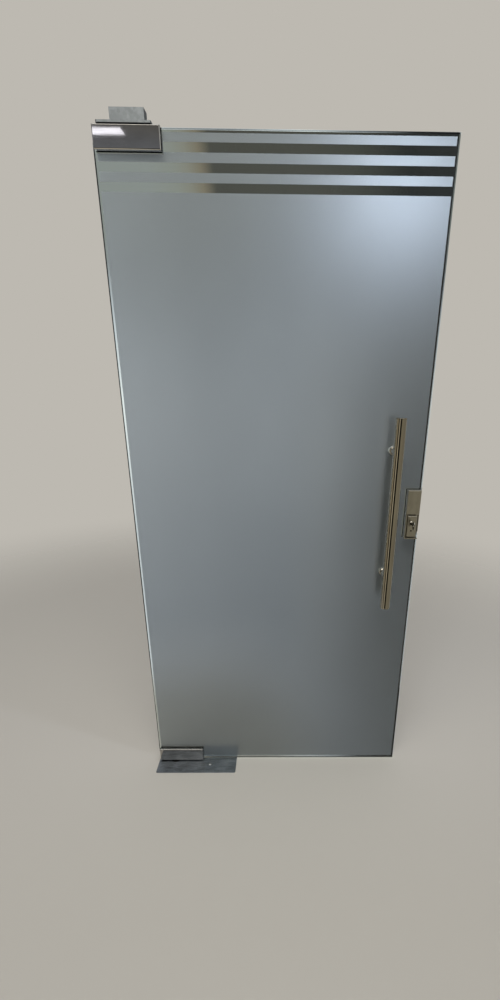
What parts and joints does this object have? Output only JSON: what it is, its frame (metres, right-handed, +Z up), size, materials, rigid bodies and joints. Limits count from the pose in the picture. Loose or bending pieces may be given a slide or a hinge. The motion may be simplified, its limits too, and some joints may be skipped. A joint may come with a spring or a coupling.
{
  "type": "glass entrance door",
  "caption": "Frameless frosted glass entrance door on patch fittings, swinging on a floor closer and a lintel pivot, with back-to-back tube pulls and an edge lock.",
  "frame": {"origin": "the swing axis of the leaf at finished floor level", "axes": "+X from the hinge side to the leading edge, +Z up, -Y towards the viewer of the picture"},
  "size_m": [0.907, 0.166, 2.064],
  "materials": {
    "toughened_glass": "clear float glass with a green edge",
    "frosted_film": "matt translucent film",
    "polished_stainless": "mirror polished",
    "worn_stainless": "polished and scuffed by feet",
    "brushed_stainless": "brushed along the tube",
    "satin_nickel": "satin",
    "bright_nickel": "bright plated",
    "cast_aluminium": "as cast",
    "cast_iron": "painted casting",
    "galvanised_steel": "zinc coated",
    "machined_steel": "machined",
    "zinc_plated_screw": "zinc plated",
    "dark_zinc": "dark casting",
    "fibre_gasket": "matt fibre",
    "black_rubber": "matt",
    "white_nylon": "moulded"
  },
  "bodies": {
    "root": {"cement_box": "galvanised_steel", "closer_body": "cast_iron", "closer_spring_plug": "machined_steel", "closer_valve_screws": "zinc_plated_screw", "closer_level_screws": "zinc_plated_screw", "spindle_seal": "black_rubber", "cover_plate": "worn_stainless", "cover_plate_screws": "worn_stainless", "top_pivot_plate": "galvanised_steel", "top_pivot_pin": "machined_steel", "top_pivot_lever": "machined_steel", "top_pivot_lift_screw": "zinc_plated_screw"},
    "leaf": {"glass_leaf": "toughened_glass", "film_strip_1": "frosted_film", "film_strip_2": "frosted_film", "film_strip_3": "frosted_film", "film_field": "frosted_film", "bottom_patch_casting_front": "cast_aluminium", "bottom_patch_casting_rear": "cast_aluminium", "bottom_patch_cover_front": "polished_stainless", "bottom_patch_cover_rear": "polished_stainless", "bottom_patch_gaskets": "fibre_gasket", "bottom_patch_bolts": "zinc_plated_screw", "bottom_patch_insert": "machined_steel", "closer_spindle": "machined_steel", "top_patch_casting_front": "cast_aluminium", "top_patch_casting_rear": "cast_aluminium", "top_patch_cover_front": "polished_stainless", "top_patch_cover_rear": "polished_stainless", "top_patch_gaskets": "fibre_gasket", "top_patch_bolts": "zinc_plated_screw", "top_patch_insert": "machined_steel", "top_patch_bush": "white_nylon", "pull_tube_front": "brushed_stainless", "pull_tube_rear": "brushed_stainless", "pull_caps_front": "brushed_stainless", "pull_caps_rear": "brushed_stainless", "pull_posts_front": "brushed_stainless", "pull_posts_rear": "brushed_stainless", "pull_grub_screws": "zinc_plated_screw", "pull_studs": "zinc_plated_screw", "pull_sleeves": "white_nylon", "pull_washers": "white_nylon", "lock_core": "dark_zinc", "lock_faceplate": "brushed_stainless", "lock_faceplate_screws": "zinc_plated_screw", "lock_case_front": "satin_nickel", "lock_cover_front": "satin_nickel", "lock_block": "satin_nickel", "lock_cylinder": "bright_nickel", "lock_case_rear": "satin_nickel", "lock_cover_rear": "satin_nickel", "lock_gaskets": "fibre_gasket", "lock_clamp_screws": "zinc_plated_screw"},
    "key_turn": {"lock_plug": "bright_nickel", "lock_key": "bright_nickel", "lock_thumbturn": "bright_nickel"},
    "bolt": {"lock_bolt": "machined_steel"}
  },
  "joints": [
    {"name": "door_swing", "type": "hinge", "parent": "root", "child": "leaf", "pos_m": [0, 0, 0], "axis": [0, 0, 1], "range_deg": [-90, 90], "stiffness_Nm_per_rad": 10},
    {"name": "lock_turn", "type": "hinge", "parent": "leaf", "child": "key_turn", "pos_m": [0.818, 0, 0.973], "axis": [0, 1, 0], "range_deg": [0, 90]},
    {"name": "bolt_throw", "type": "slide", "parent": "leaf", "child": "bolt", "axis": [1, 0, 0], "range_m": [0, 0.01556]}
  ],
  "couplings": [
    {"joint": "lock_turn", "follows": "bolt_throw", "rad_per_m": 100.97}
  ]
}
